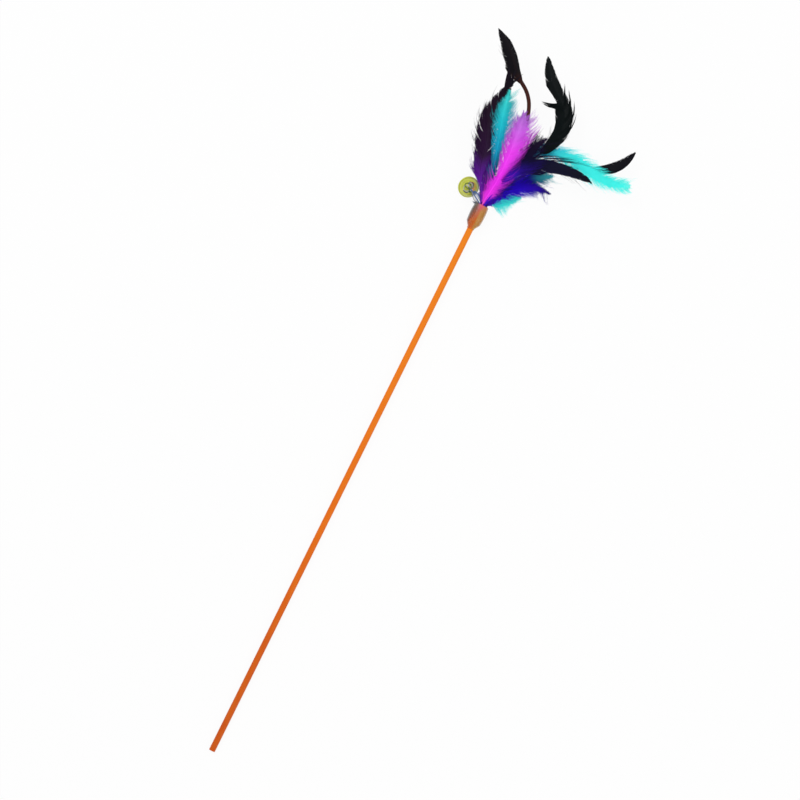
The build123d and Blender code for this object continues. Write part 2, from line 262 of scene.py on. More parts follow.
def twisted_cord():
    """The tie's two-ply twisted cord, its twist bands darker between the plies as painted shade."""
    m = Nodes("twisted_cord")
    place = m.place()
    bands = dict(Vector=place, Scale=520, Distortion=0.6, Detail=2)
    twist = m.add("TexWave", bands, wave_type="BANDS", bands_direction="DIAGONAL").outputs["Fac"]
    fibre = m.noise(place, (5200, 5200, 5200), 3)
    # the twist bands paint shade: darker navy in the grooves between the plies, paler blue on them
    base = m.ramp(twist, tones((0.1, (26, 44, 98)), (0.5, (58, 98, 168)), (0.9, (112, 152, 208))))
    base = m.mix(m.math("MULTIPLY", fibre, 0.35), base, linear(30, 46, 92))
    m.surface(base, fibre, [(0.3, 0.6), (0.7, 0.9)])
    m.put(Sheen_Weight=0.3)
    m.bump(twist, 0.5, 0.0002)
    return m.material


def lime(name):
    """Lime paint on thin sheet metal: fine orange peel, rubbed where it is touched."""
    m = Nodes(name)
    place = m.place()
    peel = m.noise(place, (1900, 1900, 1900), 3)
    wear = m.noise(place, (420, 420, 420), 5, 0.65)
    base = m.ramp(wear, tones((0.25, (166, 172, 42)), (0.5, (194, 200, 62)), (0.75, (214, 214, 92))))
    m.surface(base, wear, [(0.3, 0.28), (0.7, 0.46)])
    m.put(Metallic=0.25, Coat_Weight=0.4, Coat_Roughness=0.15)
    m.bump(peel, 0.15, 0.0001)
    return m.material


def steel(name, dark):
    """Bare steel with fine drawn streaks, from a dark tone to one a little lighter."""
    m = Nodes(name)
    light = [part + 36 for part in dark]
    streaks = m.noise(m.place(), (2600, 2600, 900), 4)
    m.surface(m.ramp(streaks, tones((0.3, dark), (0.7, light))), streaks, [(0.3, 0.24), (0.7, 0.42)])
    m.put(Metallic=1.0)
    m.bump(streaks, 0.15, 0.0001)
    return m.material


def plumage(name, along, tip, tip_share, streak, rough=(0.5, 0.75), sheen=0.02, gleam=0.1):
    """Dyed barbs: colour runs along the feather, fades to its barbs' tips and differs from barb to barb."""
    m = Nodes(name)
    uv = m.barb_uv()
    parts = m.parts(uv)
    out = m.math("MULTIPLY", m.math("ABSOLUTE", m.math("SUBTRACT", parts["Y"], 0.5)), 2.0)
    base = m.ramp(parts["X"], tones(*along))
    base = m.mix(m.math("MULTIPLY", m.math("POWER", out, 1.6), tip_share), base, linear(*tip))
    barb = m.noise(uv, (260, 2.2, 1), 3, 0.6)
    lock = m.noise(uv, (34, 1.4, 1), 2)
    shade = m.math("ADD", m.math("MULTIPLY", barb, 0.6), m.math("MULTIPLY", lock, 0.4))
    dark = m.ramp(shade, [(0.3, 1.0 - streak), (0.5, 1.0)])
    m.surface(m.mix(1.0, base, dark, "MULTIPLY"), barb, [(0.3, rough[0]), (0.7, rough[1])])
    m.put(Sheen_Weight=sheen, Sheen_Roughness=0.5, Specular_IOR_Level=gleam)
    return m.material


def thread(name, dark, light):
    """Twisted sewing thread: its two plies, darker where they meet as painted shade, and fine fibres."""
    m = Nodes(name)
    parts = m.parts(m.barb_uv())
    turns = m.math("ADD", m.math("MULTIPLY", parts["X"], 90.0), m.math("MULTIPLY", parts["Y"], 60.0))
    ply = m.math("SINE", turns)
    fibre = m.noise(m.place(), (6000, 6000, 6000), 3)
    shade = m.math("ADD", m.math("MULTIPLY", ply, 0.3), fibre)
    # the ramp from the dark tone to the light one paints shade in the grooves between the plies
    m.surface(m.ramp(shade, tones((0.2, dark), (0.8, light))), fibre, [(0.3, 0.55), (0.7, 0.85)])
    m.put(Sheen_Weight=0.2, Specular_IOR_Level=0.3)
    m.bump(ply, 0.4, 0.0001)
    return m.material


dress("wand_rod", orange_rod())
dress("tip_sleeve", clear_amber_sleeve())
dress("glue_plug", cloudy_glue())
dress("bell_tie", twisted_cord())
dress("bell_crown", lime("lime_paint_crown"))
dress("bell_bowl", lime("lime_paint_bowl"))
dress("bell_staple", steel("staple_wire", (176, 176, 178)))
dress("bell_pellet", steel("pellet_steel", (150, 150, 154)))

# bell: where it hangs, and the places that it swings through
BELL_ROOM, SWING_PLACES = 8.6, 8
TIE_EXIT = TILT @ np.array([MOUTH_X + TIE_LEAD, TIE_LEFT_SHARE * SLOT_REACH, 0])
hinge = next(joint for joint in frame["record"]["behaviour"]["joints"] if joint["name"] == "bell_swing")
bar, aside = np.array(hinge["pos_m"]) / MM, np.array(hinge["axis"])
lean_in = np.array([np.cos(BELL_BEARING), np.sin(BELL_BEARING), 0]) * -np.cos(CROWN_RISE)
crown = TILT @ (lean_in + np.array([0, 0, np.sin(CROWN_RISE)]))
toward = np.cross(crown, aside)
toward *= np.sign(toward @ (TIE_EXIT - bar))
bell_centre = bar - crown * BAR_REACH
bell_places = []
for swing in np.linspace(*np.radians(hinge["range_deg"]), SWING_PLACES):
    swung = Matrix.Rotation(swing, 3, Vector(aside)) @ Vector(bell_centre - bar)
    bell_places.append(bar + np.array(swung))


# strands
LEFT, RIGHT = 1, -1
BARBS, SHAFT = 0, 1
# strands stay just above the table, and one that starts in the bell's room keeps this much of a step
LOWEST, SHORTEST = -2.3, 0.1
SHAFT_V = 0.008


def unit(vectors):
    """Vectors (..., 3) made one long."""
    return vectors / np.maximum(np.linalg.norm(vectors, axis=-1, keepdims=True), 1e-12)


def between(values, at):
    """Values along strands (n, k, ...) at places (n, m), which are counted in steps from the root."""
    low = np.clip(at.astype(int), 0, values.shape[1] - 2)
    mix = (at - low)[..., None]
    rows = np.arange(len(values))[:, None]
    return values[rows, low] * (1 - mix) + values[rows, low + 1] * mix


def held_back(points):
    """Strands (n, k, 3) that run into the bell's room end just before it."""
    n, k, _ = points.shape
    inside = np.zeros((n, k), bool)
    for place in bell_places:
        inside |= np.linalg.norm(points - place, axis=2) < BELL_ROOM
    keep = np.where(inside.any(1), np.maximum(inside.argmax(1) - 1, SHORTEST), k - 1)
    return between(points, np.linspace(0, 1, k)[None] * keep[:, None])


class Strands:
    """Closed tapering strands, tubes and sheets, gathered into one mesh."""

    def __init__(self):
        self.verts, self.uvs, self.loops, self.totals, self.kinds = [], [], [], [], []
        self.count = 0

    def add(self, points, lift, width, thick, u, v, spread):
        """Three-sided strands along points (n, k, 3) with lift (n, k, 3), and width, thick and v (n, k);
        u (n,) and its spread over the width."""
        n, k, _ = points.shape
        points = held_back(np.concatenate([points[..., :2], np.maximum(points[..., 2:], LOWEST)], -1))
        along = unit(np.gradient(points, axis=1))
        side = unit(np.cross(lift, along))
        high = np.cross(along, side)
        half = side * (width / 2)[..., None]
        ring = np.stack([points - half, points + half, points + high * thick[..., None]], 2)[:, :-1]
        verts = np.concatenate([ring.reshape(n, -1, 3), points[:, -1:]], 1)
        ring_u = np.stack([u - spread, u + spread, u], -1)[:, None, :].repeat(k - 1, 1)
        ring_v = v[:, :-1, None].repeat(3, 2)
        ring_uv = np.stack([ring_u, ring_v], -1).reshape(n, -1, 2)
        uv = np.concatenate([ring_uv, np.stack([u, v[:, -1]], -1)[:, None]], 1)
        size = verts.shape[1]
        offset = self.count + np.arange(n)[:, None] * size
        edges = ((0, 1), (1, 2), (2, 0))
        last = (k - 2) * 3
        quads = []
        for here in range(0, last, 3):
            quads += [[here + a, here + b, here + b + 3, here + a + 3] for a, b in edges]
        triangles = [[last + a, last + b, size - 1] for a, b in edges] + [[0, 2, 1]]
        for faces, corners in ((quads, 4), (triangles, 3)):
            self.loops.append((np.array(faces).ravel()[None] + offset).ravel())
            self.totals.append(np.full(n * len(faces), corners))
            self.kinds.append(np.full(n * len(faces), BARBS))
        self.verts.append(verts.reshape(-1, 3))
        self.uvs.append(uv.reshape(-1, 2))
        self.count += n * size

    def tube(self, points, lift, wide, tall, u, sides=10, kind=SHAFT):
        """One closed tapering oval tube along points (k, 3), so wide and tall."""
        along = unit(np.gradient(points, axis=0))
        side = unit(np.cross(lift, along))
        high = np.cross(along, side)
        turn = (np.arange(sides) / sides * 2 * np.pi)[None, :, None]
        rings = points[:, None] + side[:, None] * np.cos(turn) * (wide / 2)[:, None, None]
        rings = rings + high[:, None] * np.sin(turn) * (tall / 2)[:, None, None]
        v = 0.5 + SHAFT_V * np.cos(turn[..., 0]).repeat(len(points), 0)
        self.skin(rings, np.stack([u[:, None].repeat(sides, 1), v], -1), kind)

    def skin(self, rings, uvs, kind):
        """A closed skin over rings of points (n, k, 3), capped at both ends."""
        n, k, _ = rings.shape
        row, column = np.meshgrid(np.arange(n - 1), np.arange(k), indexing="ij")
        here, beside = row * k + column, row * k + (column + 1) % k
        quads = np.stack([here, beside, beside + k, here + k], -1).reshape(-1)
        ends = np.concatenate([np.arange(k)[::-1], (n - 1) * k + np.arange(k)])
        self.loops += [quads + self.count, ends + self.count]
        self.totals += [np.full((n - 1) * k, 4), np.full(2, k)]
        self.kinds.append(np.full((n - 1) * k + 2, kind))
        self.verts.append(rings.reshape(-1, 3))
        self.uvs.append(uvs.reshape(-1, 2))
        self.count += n * k

    def piece(self, name, materials):
        """A mesh object of all strands, in metres."""
        verts, uvs = np.concatenate(self.verts) * MM, np.concatenate(self.uvs)
        loops = np.concatenate(self.loops).astype(np.int32)
        totals = np.concatenate(self.totals).astype(np.int32)
        kinds = np.concatenate(self.kinds).astype(np.int32)
        starts = np.concatenate([[0], np.cumsum(totals)[:-1]]).astype(np.int32)
        mesh = bpy.data.meshes.new(name)
        mesh.vertices.add(len(verts))
        mesh.vertices.foreach_set("co", verts.astype(np.float32).ravel())
        mesh.loops.add(len(loops))
        mesh.loops.foreach_set("vertex_index", loops)
        mesh.polygons.add(len(totals))
        mesh.polygons.foreach_set("loop_start", starts)
        mesh.polygons.foreach_set("loop_total", totals)
        mesh.polygons.foreach_set("material_index", kinds)
        mesh.polygons.foreach_set("use_smooth", kinds > BARBS)
        mesh.update(calc_edges=True)
        # materials read the map named barb, and the export bakes through the one named OFBake
        for layer in ("barb", "OFBake"):
            mesh.uv_layers.new(name=layer).data.foreach_set("uv", uvs[loops].astype(np.float32).ravel())
        mesh.uv_layers.active = mesh.uv_layers["barb"]
        mesh.uv_layers["barb"].active_render = True
        for material in materials:
            mesh.materials.append(material)
        piece = bpy.data.objects.new(name, mesh)
        scene.collection.objects.link(piece)
        return piece


# feathers: a plan gives each one's spine and vane, in mm and in shares of the spine's length
VANE_END, DOWN_START = 0.992, 0.03
HAIR_WIDTH, SPUR_WIDTH, RACHIS_TIP = 0.07, 0.45, 0.16
WEB_ROWS, WEB_COLUMNS, WEB_DROP, WEB_THICK = 240, 4, 0.12, 0.1
WEB_START, WEB_END = 0.02, 0.955
LOOSE_POINTS, LOOSE_THICK, LOOSE_SPREAD = 9, 0.4, 0.002


class Spine:
    """A feather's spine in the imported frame: places and directions at shares of its length."""

    def __init__(self, plan):
        shares = np.linspace(0, 1, SPINE_STEPS + 1)
        middle = (np.arange(SPINE_STEPS) + 0.5) / SPINE_STEPS
        start = np.array([MOUTH_X, plan["slot"][0] * SLOT_REACH, plan["slot"][1] * SLOT_REACH])
        steps = self.heading(plan, middle) * plan["length"] / SPINE_STEPS
        places = np.vstack([start, start + np.cumsum(steps, 0)])
        along = self.heading(plan, shares)
        across = unit(np.cross([0, 0, 1.0], along))
        lift = np.cross(along, across)
        self.shares, self.length = shares, plan["length"]
        self.places, self.along = places @ TILT.T, along @ TILT.T
        self.across, self.lift = across @ TILT.T, lift @ TILT.T

    @staticmethod
    def heading(plan, shares):
        heading = np.radians(np.interp(shares, plan["bends"], plan["headings"]))
        rise = np.radians(np.interp(shares, plan["bends"], plan["rises"]))
        level = np.cos(rise)
        return np.stack([level * np.cos(heading), level * np.sin(heading), np.sin(rise)], -1)

    def at(self, table, shares):
        return np.stack([np.interp(shares, self.shares, table[:, k]) for k in range(3)], -1)

    def point(self, shares, left, high):
        """Places at shares, which may pass the tip, so far to the left and so high off the spine, in mm."""
        over = np.maximum(shares - 1, 0)[..., None] * self.length
        base = self.at(self.places, shares) + self.at(self.along, shares) * over
        beside = self.at(self.across, shares) * left[..., None]
        return base + beside + self.at(self.lift, shares) * high[..., None]


def side_width(plan, shares, hand):
    """Width of the CAD blade on one side of its rachis at shares of the spine, in mm."""
    bare, stem = plan["bare"], plan["stem"]
    near = np.maximum(0, 1 - shares / bare * 2)
    shaft = stem + (QUILL - stem) * near
    run = np.clip((shares - bare) / (1 - bare), 0, 1)
    full = plan["width"] * np.maximum(0, np.sin(np.pi * run ** plan["peak"])) ** plan["edge"]
    vane = np.maximum(np.maximum(full, shaft * (1 - run)), 1.0)
    width = np.where(shares <= bare, shaft, vane)
    left = 0.5 + (plan["left"] - 0.5) * np.clip((width - QUILL) / (plan["width"] - QUILL), 0, 1)
    return width * (left if hand == LEFT else 1 - left)


def shape_gain(plan, shares, hand):
    """How far the barbs' ends reach at shares of the spine, against the CAD blade's edge."""
    return np.interp(shares, *plan["left_shape" if hand == LEFT else "right_shape"])


def droop(plan, side, full):
    """How high a cambered vane lies over its spine, so far out of its full width; never above 0."""
    return -CAMBER * (plan["width"] - QUILL) / 2 * np.minimum(side / full, 1.3) ** 2


def barb_v(hand, out, count=1):
    """The v of the barbs' uv: 0.5 at the shaft, and near 1 at left tips and 0 at right ones."""
    return (0.5 + hand * (0.02 + 0.46 * out)).repeat(count, 0)


def smooth_random(rng, shares, count):
    """Random values from -1 to 1 at about so many knots over the spine, and even between them."""
    knots = np.linspace(-0.05, 1.6, int(count * 1.65) + 2)
    return np.interp(shares, knots, rng.uniform(-1, 1, len(knots)))


def lock_pull(rng, roots, size):
    """For barbs at sorted roots: each lock's middle, and a random number per lock."""
    cuts, place = [roots[0] - 1e-6], roots[0]
    while place < roots[-1]:
        place += size * rng.uniform(0.5, 1.6)
        cuts.append(place)
    cuts = np.array(cuts)
    which = np.clip(np.searchsorted(cuts, roots) - 1, 0, len(cuts) - 2)
    return (cuts[which] + cuts[which + 1]) / 2, rng.uniform(-1, 1, len(cuts))[which]


def grow_side(strands, spine, plan, rng, hand, down=False):
    """All barbs of one side of the vane, or the downy barbs below the vane."""
    length, spacing = plan["length"], plan["spacing"]
    if down:
        first, last = DOWN_START, plan["bare"] + 0.1
    else:
        first, last = plan["start"] or plan["bare"] * 0.92, VANE_END
    roots = np.arange(first, last, spacing / length)
    roots = np.sort(roots + rng.uniform(-0.3, 0.3, len(roots)) * spacing / length)
    lean = plan["lean"] * np.interp(roots, (0.6, 1), (1, plan["tip_lean"]))
    n = len(roots)
    t = np.linspace(0, 1, plan["points"])[None]
    if down:
        swell = np.interp(roots, (first, first + 0.05, last), (0.35, 1, 1))
        reach = plan["down"] * swell * rng.uniform(0.5, 1.25, n)
    else:
        # a barb ends at the blade's edge ahead of its root, which a few rounds find
        reach = side_width(plan, roots, hand)
        for _ in range(3):
            reach = side_width(plan, np.clip(roots + lean * reach / length, 0, 1), hand)
        reach = reach * shape_gain(plan, roots, hand)
    middle, pull = lock_pull(rng, roots, plan["lock"] / length)
    ragged = 1 + plan["ragged"] * rng.uniform(-1, 0.6, n)
    reach = reach * (ragged + plan["waver"] * smooth_random(rng, roots, length / 9))
    forward = lean * (1 + plan["lock_swing"] * pull + plan["loose"] * rng.uniform(-1, 1, n))
    side = reach[:, None] * (1 - (1 - t) ** plan["curve"])
    ahead = (reach * forward)[:, None] * t ** plan["sweep"]
    gather = ((middle - roots) * length * plan["gather"])[:, None] * t ** 1.8
    wave = np.sin(t * np.pi * rng.uniform(0.8, 2.2, (n, 1)) + rng.uniform(0, 6, (n, 1)))
    wiggle = plan["wiggle"] * rng.uniform(-1, 1, (n, 1)) * wave * t
    shares = roots[:, None] + (ahead + gather + wiggle) / length
    full = np.maximum(side_width(plan, np.clip(shares, 0, 1), hand), plan["down"] if down else 0.5)
    fluff = rng.normal(0, plan["fluff"], (n, 1)) + plan["fluff"] * 0.6 * pull[:, None]
    high = droop(plan, side, full) + fluff * side * t
    high = high + plan["layer"] * rng.uniform(-1, 1, (n, 1))
    shaft = (0.42 * (1 - roots) + 0.1)[:, None]
    points = spine.point(shares, hand * (side + shaft * 0.5 * (1 - t)), high)
    lift = spine.at(spine.lift, shares)
    width = plan["barb"] * rng.uniform(0.8, 1.2, (n, 1)) * (1 - t ** 2.2 * 0.8)
    v = barb_v(hand, t, n)
    strands.add(points, lift, width, width * plan["thick"], roots, v, 0.4 * spacing / length)
    hairs(strands, plan, rng, held_back(points), lift, roots, v, spacing / length)


def grow_web(strands, spine, plan, rng):
    """The webby middle of a plume: one closed thin sheet just under its barbs."""
    bare, down = plan["bare"], plan["down"]
    shares = np.linspace(WEB_START, WEB_END, WEB_ROWS)
    out = np.linspace(0, 1, WEB_COLUMNS)[None]
    base = down * np.interp(shares, (WEB_START, 0.07, bare + 0.1, bare + 0.3), (0.12, 0.6, 0.6, 0))
    sheet = {}
    for hand in (LEFT, RIGHT):
        full = side_width(plan, shares, hand) * shape_gain(plan, shares, hand)
        edge = np.maximum(full * plan["web"], base) * (1 + 0.35 * rng.uniform(-1, 1, WEB_ROWS))
        edge = edge * np.interp(shares, (0.85, WEB_END), (1, 0.35))
        side = edge[:, None] * out
        high = droop(plan, side, np.maximum(full, down)[:, None]) - WEB_DROP
        v = barb_v(hand, side / np.maximum(full, edge)[:, None])
        u = shares[:, None] - plan["lean"] * side / plan["length"]
        sheet[hand] = hand * side, high, v, u
    halves = zip(sheet[LEFT], sheet[RIGHT])
    left, high, v, u = (np.concatenate([a[:, ::-1], b[:, 1:]], 1) for a, b in halves)
    left, v, u = (np.concatenate([top, top[:, ::-1]], 1) for top in (left, v, u))
    high = np.concatenate([high, high[:, ::-1] - WEB_THICK], 1)
    points = spine.point(np.broadcast_to(shares[:, None], left.shape), left, high)
    points[..., 2] = np.maximum(points[..., 2], LOWEST)
    strands.skin(points[:, ::-1], np.stack([u, v], -1)[:, ::-1], BARBS)


def hairs(strands, plan, rng, points, lift, roots, v, spread):
    """Barbules: short fine hairs along both edges of the barbs."""
    count = plan["hairs"]
    if not count:
        return
    n, k, _ = points.shape
    place = (np.arange(count) + rng.uniform(0, 1, (n, count))) / count * 0.94 + 0.04
    at = place * (k - 1)
    low = np.clip(at.astype(int), 0, k - 2)
    rows = np.arange(n)[:, None]
    base = between(points, at)
    along = unit(points[rows, low + 1] - points[rows, low])
    over = lift[rows, low]
    side = np.cross(over, along)
    sign = rng.choice([-1.0, 1.0], (n, count, 1))
    angle = rng.uniform(0.35, 1.0, (n, count, 1))
    tip = along * np.cos(angle) + side * np.sin(angle) * sign + over * rng.normal(0, 0.35, (n, count, 1))
    long = plan["hair"] * rng.uniform(0.5, 1.3, (n, count, 1)) * (1 - 0.5 * place[..., None])
    middle, end = base + tip * long * 0.5, base + (tip + along * 0.3) * long
    hair = np.stack([base, middle, end], 2).reshape(-1, 3, 3)
    hair_lift = np.repeat(over.reshape(-1, 1, 3), 3, 1)
    width = np.full((len(hair), 3), HAIR_WIDTH) * np.array([1, 0.8, 0.2])
    hair_v = between(v[..., None], at).reshape(-1, 1) + np.array([[0, 0.004, 0.008]])
    strands.add(hair, hair_lift, width, width * 0.6, np.repeat(roots, count), hair_v, 0.3 * spread)


def grow_strays(strands, spine, plan, rng):
    """Loose barbs that stand off the vane: (hand, first share, last share, count, reach, forward, width)."""
    length = plan["length"]
    t = np.linspace(0, 1, LOOSE_POINTS)[None]
    for hand, first, last, count, gain, forward, wide in plan["strays"]:
        roots = rng.uniform(first, last, count)
        ends = np.clip(roots + forward * side_width(plan, roots, hand) / length, 0, 0.96)
        reach = np.maximum(side_width(plan, ends, hand), plan["down"])
        reach = (reach * gain * rng.uniform(0.75, 1.2, count))[:, None]
        side = reach * (1 - (1 - t) ** 1.5)
        ahead = reach * forward * rng.uniform(0.7, 1.2, (count, 1)) * t ** 1.2
        curl = rng.normal(0, 0.12, (count, 1)) * reach
        curl = curl * np.sin(t * np.pi * rng.uniform(0.7, 1.6, (count, 1))) * t
        shares = roots[:, None] + (ahead + curl) / length
        high = rng.normal(0, 0.12, (count, 1)) * side * t
        points = spine.point(shares, hand * side, high)
        lift = spine.at(spine.lift, shares)
        width = (wide * (1 - 0.85 * t ** 1.5)).repeat(count, 0)
        v = barb_v(hand, t, count)
        strands.add(points, lift, width, width * LOOSE_THICK, roots, v, LOOSE_SPREAD)
        hairs(strands, plan, rng, held_back(points), lift, roots, v, LOOSE_SPREAD)


def grow_spurs(strands, spine, plan, rng):
    """Locks of unzipped barbs that stand out together: (hand, first, last, count, reach, forward)."""
    length = plan["length"]
    t = np.linspace(0, 1, LOOSE_POINTS)[None]
    for hand, first, last, count, reach, forward in plan["spurs"]:
        roots = np.linspace(first, last, count)
        long = reach * rng.uniform(0.8, 1.05, (count, 1))
        side = long * t ** 0.9
        gather = ((first + last) / 2 - roots) * length * 0.75
        shares = roots[:, None] + (long * forward * t ** 1.3 + gather[:, None] * t) / length
        high = rng.normal(0, 0.03, (count, 1)) * side
        points = spine.point(shares, hand * side, high)
        lift = spine.at(spine.lift, shares)
        width = (SPUR_WIDTH * (1 - 0.8 * t ** 2)).repeat(count, 0)
        strands.add(points, lift, width, width * LOOSE_THICK, roots, barb_v(hand, t, count), LOOSE_SPREAD)


def grow_shaft(strands, spine, plan):
    """The quill, from its root in the glue, and the rachis to the tip."""
    bare, stem = plan["bare"], plan["stem"]
    left, high = plan["slot"][0] * SLOT_REACH, plan["slot"][1] * SLOT_REACH
    beside_rod = np.hypot(left, high) - QUILL / 2 > ROD_RADIUS
    root = MOUTH_X - QUILL_DEPTH if beside_rod else ROD_LENGTH + QUILL_GAP
    inner = np.array([[root, left, high], [(root + MOUTH_X) / 2, left, high]]) @ TILT.T
    shares = np.concatenate([np.linspace(0, 0.98, 60), [0.995]])
    points = np.vstack([inner, spine.at(spine.places, shares)])
    lift = np.vstack([spine.lift[:1], spine.lift[:1], spine.at(spine.lift, shares)])
    thin = np.clip((shares - bare) / (1 - bare), 0, 1)
    flat = np.interp(shares, (0, bare * 0.5, 1), (QUILL, stem, stem)) * (1 - thin) ** 1.2
    tall = np.maximum(QUILL * (1 - shares) ** 0.8, RACHIS_TIP)
    wide = np.maximum(flat, RACHIS_TIP) if stem > QUILL else tall
    inner_width = [QUILL * 0.7, QUILL]
    wide, tall = np.concatenate([inner_width, wide]), np.concatenate([inner_width, tall])
    strands.tube(points, lift, wide, tall, np.concatenate([[0, 0], shares]))


def grow(name, seed, plan, materials):
    """One feather with its barbs, barbules and loose barbs, as one piece on the wand, with its CAD node
    hidden.
    """
    rng = np.random.default_rng(seed)
    spine, strands = Spine(plan), Strands()
    for hand in (LEFT, RIGHT):
        grow_side(strands, spine, plan, rng, hand)
        if plan["down"]:
            grow_side(strands, spine, dict(plan, **DOWN), rng, hand, down=True)
    if plan["web"]:
        grow_web(strands, spine, plan, rng)
    grow_strays(strands, spine, plan, rng)
    grow_spurs(strands, spine, plan, rng)
    grow_shaft(strands, spine, plan)
    piece = strands.piece(name + "_plume", materials)
    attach(piece, "wand")
    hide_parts(name)


def loose_barbs(*sides):
    """Thin loose barbs along a plume's edges: (hand, first share, last share, count, reach)."""
    return tuple((*side, 1.3, 0.17) for side in sides)


# plans: a shape is shares of the spine and how far the barbs reach there
EVEN = ((0, 1), (1, 1))
SHARED = dict(
    bends=BENDS, peak=1.25, edge=0.75, stem=QUILL, left=0.5, start=None, left_shape=EVEN, right_shape=EVEN,
    strays=(), spurs=(), down=0, web=0, tip_lean=1)
BLADE = dict(
    SHARED, spacing=0.26, barb=0.42, thick=0.25, lean=1.5, curve=1.55, sweep=1.15, points=9, lock=11,
    lock_swing=0.05, loose=0.03, gather=0.08, wiggle=0.05, ragged=0.06, waver=0.04, fluff=0.01, layer=0.05,
    hairs=0, hair=0.6, gloss=True)
DOWN = dict(
    spacing=0.3, barb=0.2, thick=0.3, lean=1.2, curve=1.2, sweep=1.1, points=9, lock=2.5,
    lock_swing=0.3, loose=0.25, gather=0.25, wiggle=0.7, ragged=0.35, waver=0.15, fluff=0.1, layer=0.12,
    hairs=5, hair=1.4)
PLUME = dict(
    SHARED, spacing=0.22, barb=0.22, thick=0.25, lean=1.35, curve=1.3, sweep=1.2, points=11, lock=3.2,
    lock_swing=0.18, loose=0.16, gather=0.3, wiggle=0.5, ragged=0.34, waver=0.14, fluff=0.08, layer=0.12,
    hairs=12, hair=1.5, gloss=False, down=4.5, web=0.5)
